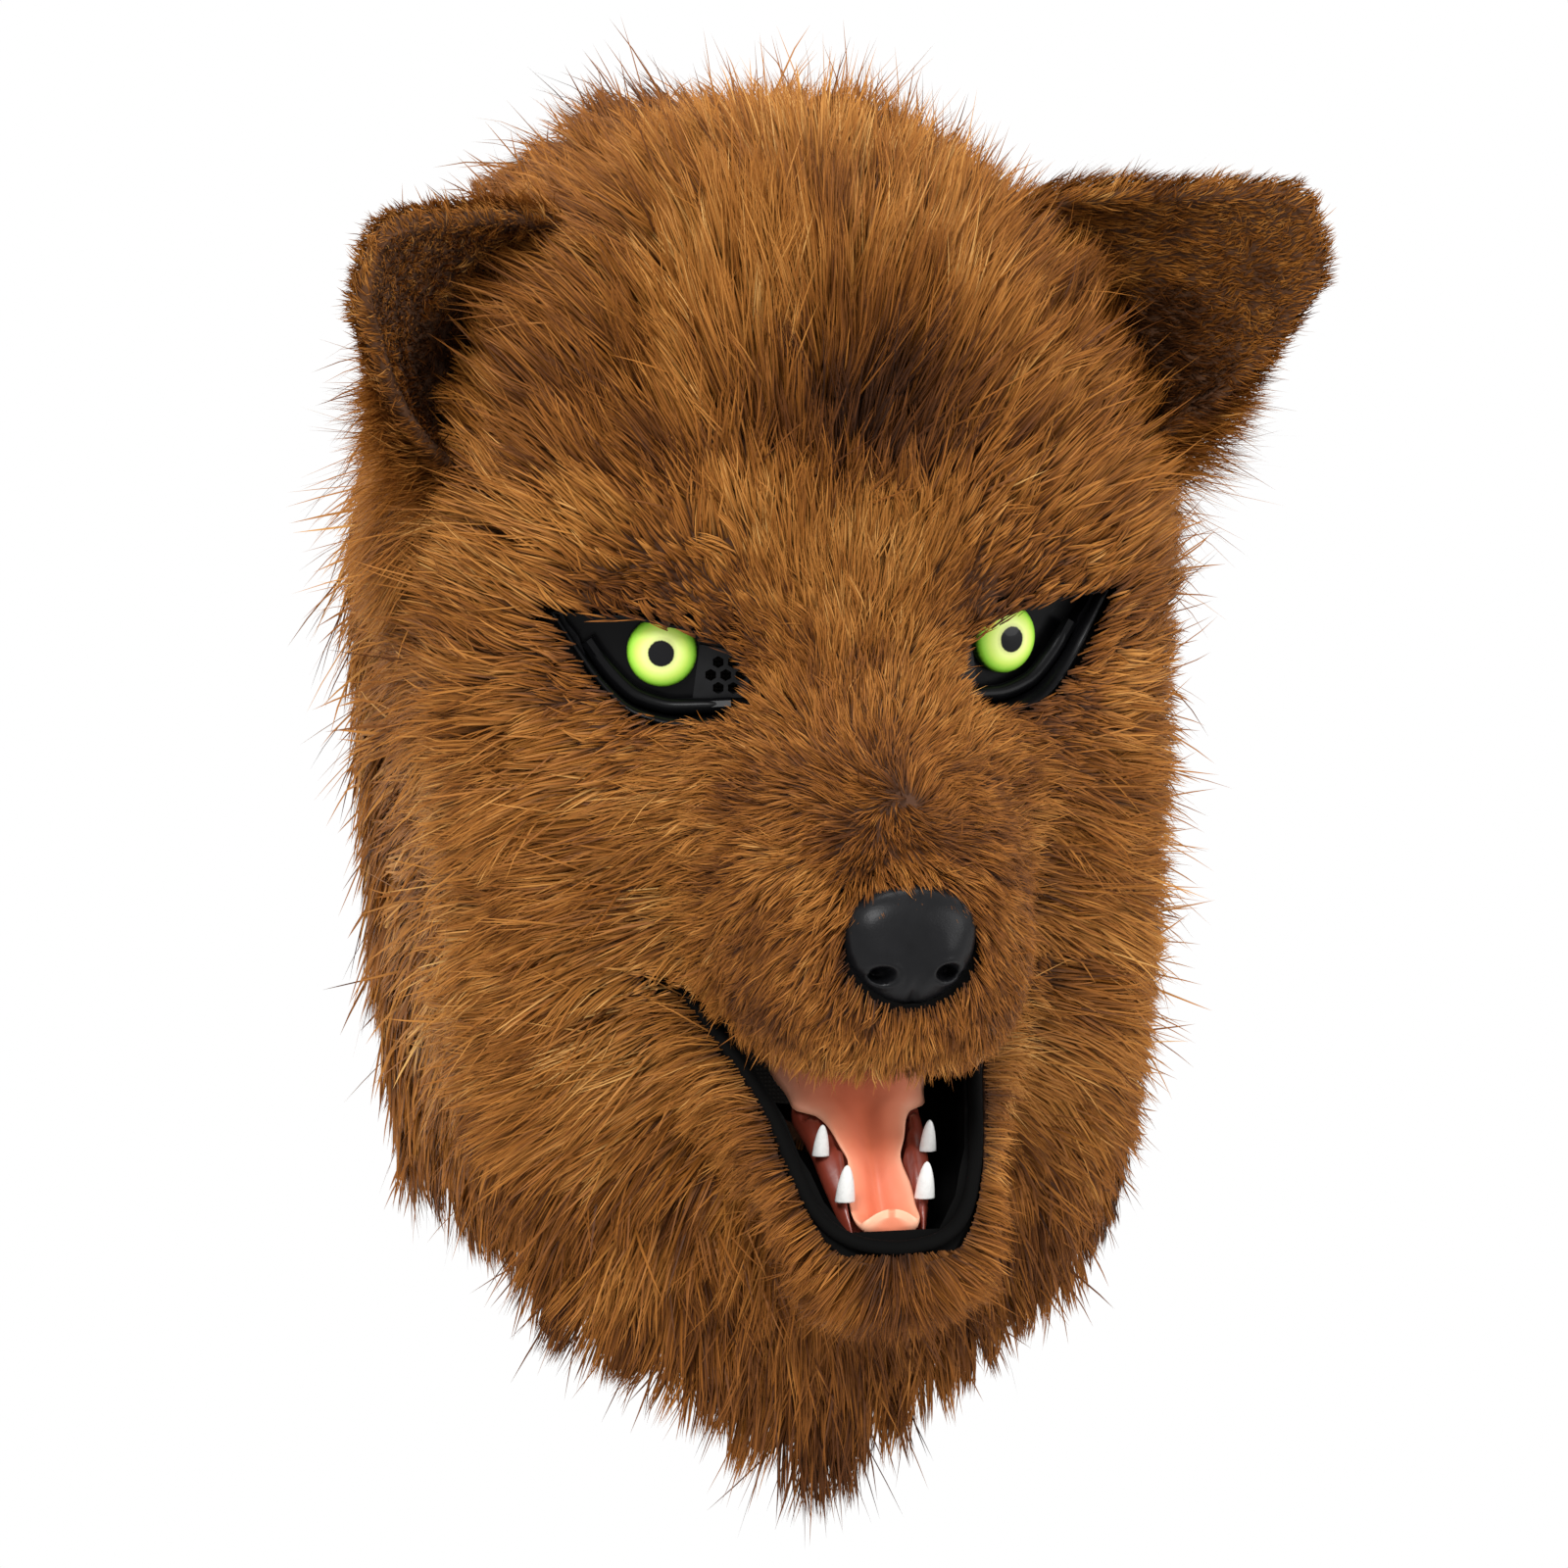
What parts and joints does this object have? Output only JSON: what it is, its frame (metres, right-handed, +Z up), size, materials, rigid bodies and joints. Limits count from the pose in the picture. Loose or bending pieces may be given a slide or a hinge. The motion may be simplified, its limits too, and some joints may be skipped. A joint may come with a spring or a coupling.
{
  "type": "werewolf mask",
  "caption": "Full-head werewolf mask in long brown fur with pricked ears, glossy green eyes, black nose and an open mouth with tongue and teeth.",
  "frame": {"origin": "The inside of the crown, where the mask rests on the head of its wearer.", "axes": "+Z is up, the face looks to -Y, and +X is the mask's own left."},
  "size_m": [0.2856, 0.3317, 0.4113],
  "materials": {
    "long_fur": "long combed brown faux fur",
    "short_fur": "short dense brown faux fur",
    "ear_velour": "short velour pile",
    "backing_cloth": "black backing cloth",
    "shell_plastic": "matte black",
    "gloss_surround": "glossy black",
    "mesh_plastic": "black see-through mesh",
    "eye_iris": "glossy yellow-green with a black pupil",
    "nose_plastic": "satin black",
    "tongue_rubber": "smooth salmon pink",
    "gum_rubber": "dark red",
    "tooth_plastic": "pearly white"
  },
  "bodies": {
    "root": {"ear_left": "ear_velour", "ear_right": "ear_velour", "hood_backing": "backing_cloth", "fur_bib": "long_fur", "fur_hood": "long_fur", "nose": "nose_plastic", "eye_surround_left": "gloss_surround", "eye_surround_right": "gloss_surround", "eye_left": "eye_iris", "eye_right": "eye_iris", "eye_mesh_left": "mesh_plastic", "eye_mesh_right": "mesh_plastic", "face_shell": "shell_plastic", "fur_face": "long_fur", "jaw_shell": "shell_plastic", "tongue": "tongue_rubber", "gum": "gum_rubber", "tooth_front_left": "tooth_plastic", "tooth_front_right": "tooth_plastic", "tooth_back_left": "tooth_plastic", "tooth_back_right": "tooth_plastic", "fur_jaw": "short_fur"}
  },
  "joints": []
}
